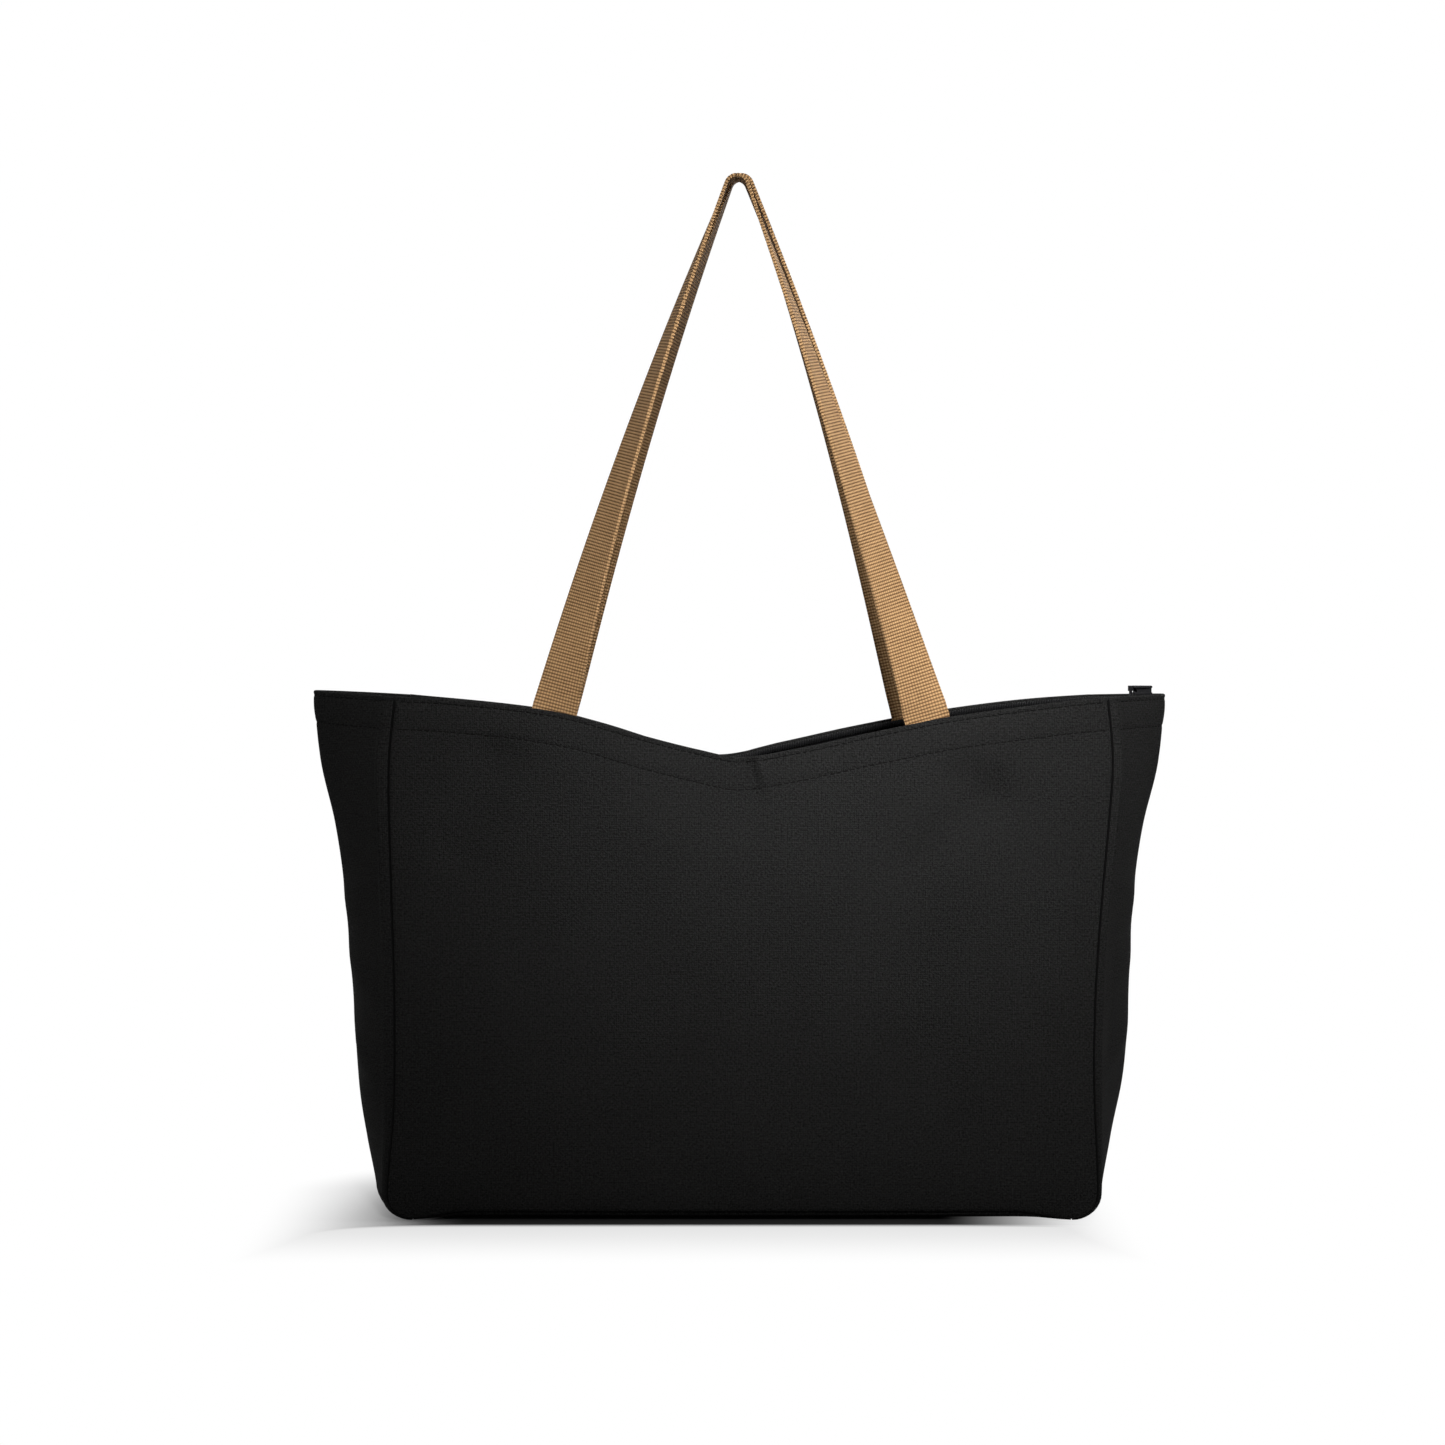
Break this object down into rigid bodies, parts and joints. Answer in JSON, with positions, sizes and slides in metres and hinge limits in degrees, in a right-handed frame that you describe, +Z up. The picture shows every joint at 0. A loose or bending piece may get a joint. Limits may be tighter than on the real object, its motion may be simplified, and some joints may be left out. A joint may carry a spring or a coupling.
{
  "type": "canvas tote bag",
  "caption": "Wide black canvas tote bag with boxed side gussets that flare at the top, a stitched hem, a zipped open mouth and tan webbing shoulder handles.",
  "frame": {"origin": "on the floor under the middle of the bag", "axes": "+Z up to the handles, X across the bag, the front panel faces -Y"},
  "size_m": [0.484, 0.1276, 0.583],
  "materials": {
    "canvas": "black cotton canvas, plain weave, matt",
    "binding": "black twill binding tape",
    "webbing": "tan cotton webbing with cross ribs",
    "zip_tape": "black woven zip tape",
    "zip_coil": "black nylon coil",
    "zip_metal": "black lacquered die casting"
  },
  "bodies": {
    "bag": {"front_panel": "canvas", "back_panel": "canvas", "left_gusset": "canvas", "right_gusset": "canvas", "base_panel": "canvas", "front_hem_facing": "canvas", "back_hem_facing": "canvas", "left_hem_facing": "canvas", "right_hem_facing": "canvas", "front_seam_binding": "binding", "back_seam_binding": "binding", "front_handle_left_end": "webbing", "front_handle_right_end": "webbing", "back_handle_left_end": "webbing", "back_handle_right_end": "webbing", "zip_tape_front": "zip_tape", "zip_tape_back": "zip_tape", "zip_coil_front": "zip_coil", "zip_coil_back": "zip_coil", "zip_top_stops": "zip_metal", "zip_bottom_stop": "zip_metal"},
    "front_handle": {"front_handle": "webbing"},
    "back_handle": {"back_handle": "webbing"},
    "zip_slider": {"zip_slider": "zip_metal"},
    "zip_pull": {"zip_pull": "zip_metal"}
  },
  "joints": [
    {"name": "front_handle_swing", "type": "hinge", "parent": "bag", "child": "front_handle", "pos_m": [0, -0.04509, 0.28173], "axis": [1, 0, 0], "range_deg": [0, 150]},
    {"name": "back_handle_swing", "type": "hinge", "parent": "bag", "child": "back_handle", "pos_m": [0, 0.04509, 0.28173], "axis": [-1, 0, 0], "range_deg": [0, 150]},
    {"name": "zip_slide", "type": "slide", "parent": "bag", "child": "zip_slider", "axis": [-1, 0, 0], "range_m": [0, 0.4]},
    {"name": "zip_pull_swing", "type": "hinge", "parent": "zip_slider", "child": "zip_pull", "pos_m": [0.22179, 0, 0.29344], "axis": [0, 1, 0], "range_deg": [0, 180]}
  ]
}
